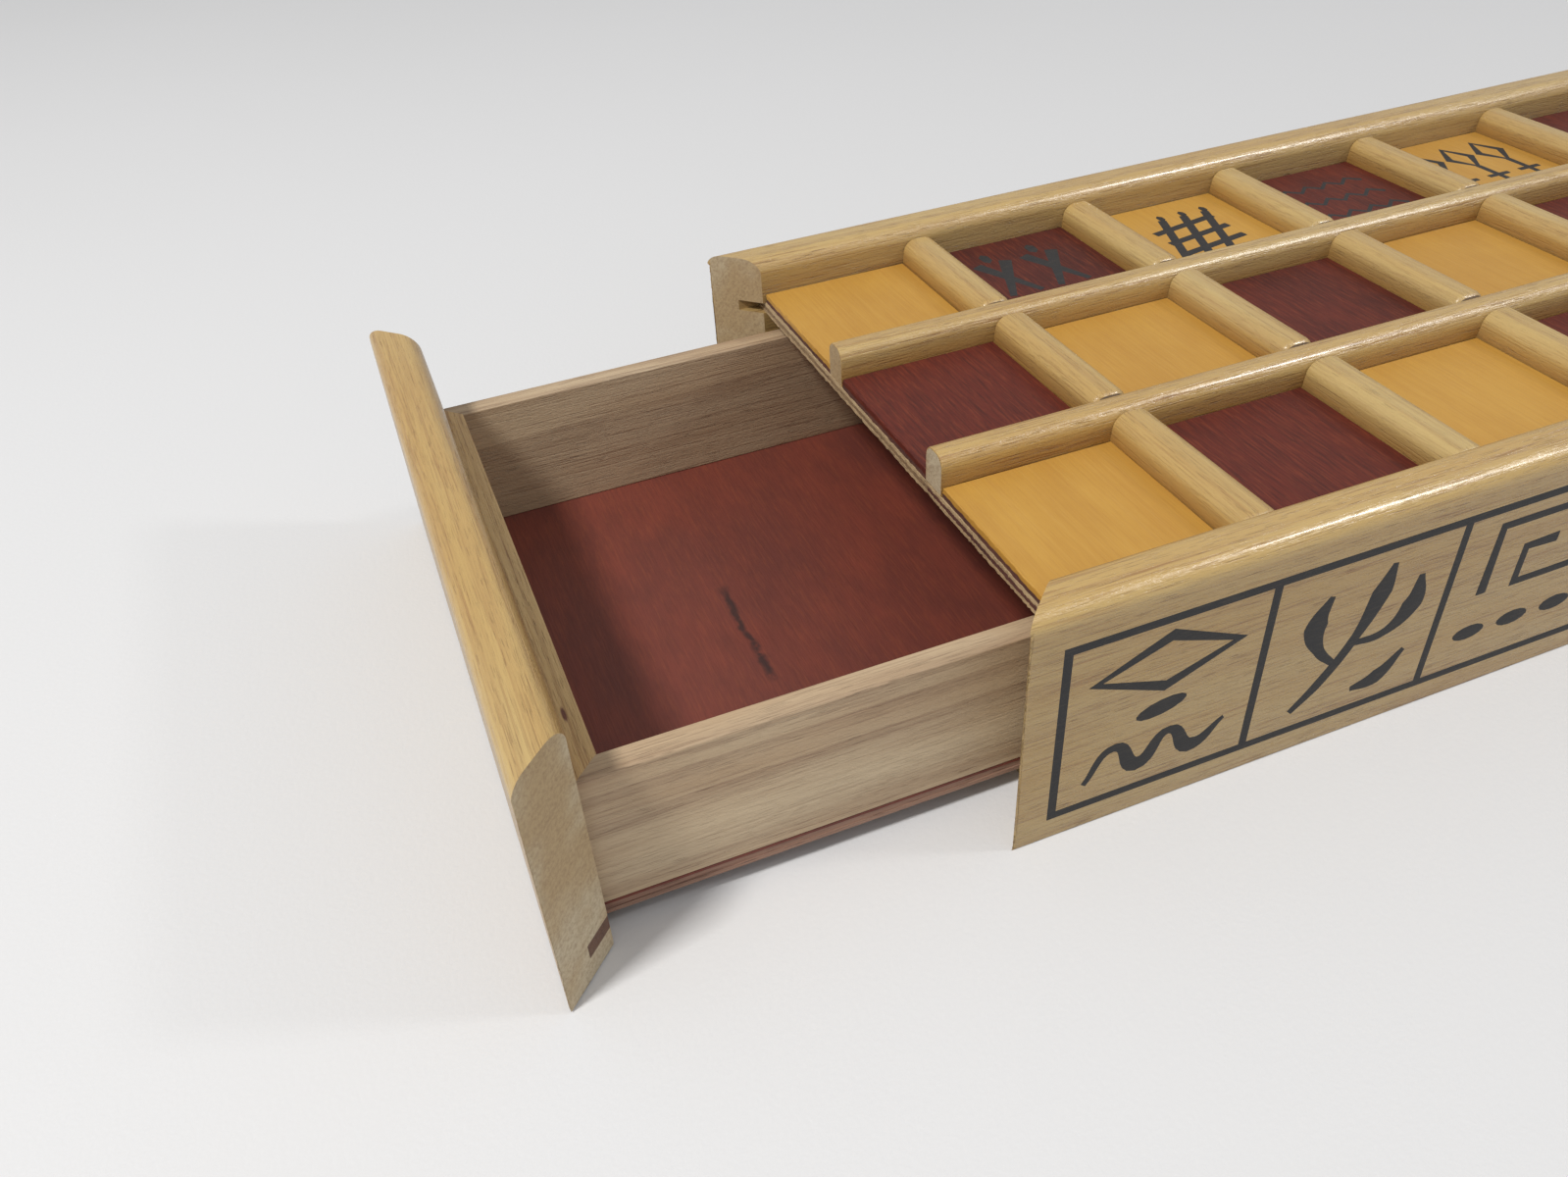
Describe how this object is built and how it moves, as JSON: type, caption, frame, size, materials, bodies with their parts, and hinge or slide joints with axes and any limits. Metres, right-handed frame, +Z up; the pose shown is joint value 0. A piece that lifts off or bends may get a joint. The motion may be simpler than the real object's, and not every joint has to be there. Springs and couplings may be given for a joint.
{
  "type": "board game case with drawer",
  "caption": "Long low wooden game case: three rows of sunken squares on top, mitred rounded rails, and a shallow drawer that slides out of one end.",
  "frame": {"origin": "middle of the case's underside, on the surface it stands on", "axes": "+X along the case away from the drawer front, +Y across the case, +Z up"},
  "size_m": [0.4225, 0.1174, 0.0412],
  "materials": {
    "moulding": "satin varnish",
    "strips": "satin varnish",
    "board_ply": "bare, sawn",
    "yellow_square": "stained, satin",
    "red_square": "stained, satin",
    "drawer_wood": "bare, planed",
    "red_ply": "stained, dull",
    "brown_ply": "bare, sawn"
  },
  "bodies": {
    "case": {"side_rail_near": "moulding", "side_rail_far": "moulding", "end_rail": "moulding", "board_panel": "board_ply", "bottom_panel": "board_ply", "divider_near": "strips", "divider_far": "strips", "square_near_01": "yellow_square", "square_near_02": "red_square", "square_near_03": "yellow_square", "square_near_04": "red_square", "square_near_05": "yellow_square", "square_near_06": "red_square", "square_near_07": "yellow_square", "square_near_08": "red_square", "square_near_09": "yellow_square", "square_near_10": "red_square", "square_middle_01": "red_square", "square_middle_02": "yellow_square", "square_middle_03": "red_square", "square_middle_04": "yellow_square", "square_middle_05": "red_square", "square_middle_06": "yellow_square", "square_middle_07": "red_square", "square_middle_08": "yellow_square", "square_middle_09": "red_square", "square_middle_10": "yellow_square", "square_far_01": "yellow_square", "square_far_02": "red_square", "square_far_03": "yellow_square", "square_far_04": "red_square", "square_far_05": "yellow_square", "square_far_06": "red_square", "square_far_07": "yellow_square", "square_far_08": "red_square", "square_far_09": "yellow_square", "square_far_10": "red_square", "cross_bars_near": "strips", "cross_bars_middle": "strips", "cross_bars_far": "strips"},
    "drawer": {"drawer_front": "moulding", "slot_strip": "brown_ply", "drawer_wall_front": "drawer_wood", "drawer_wall_back": "drawer_wood", "drawer_side_near": "drawer_wood", "drawer_side_far": "drawer_wood", "drawer_bottom": "red_ply"}
  },
  "joints": [
    {"name": "drawer_slide", "type": "slide", "parent": "case", "child": "drawer", "axis": [-1, 0, 0], "range_m": [-0.0623, 0.11]}
  ]
}
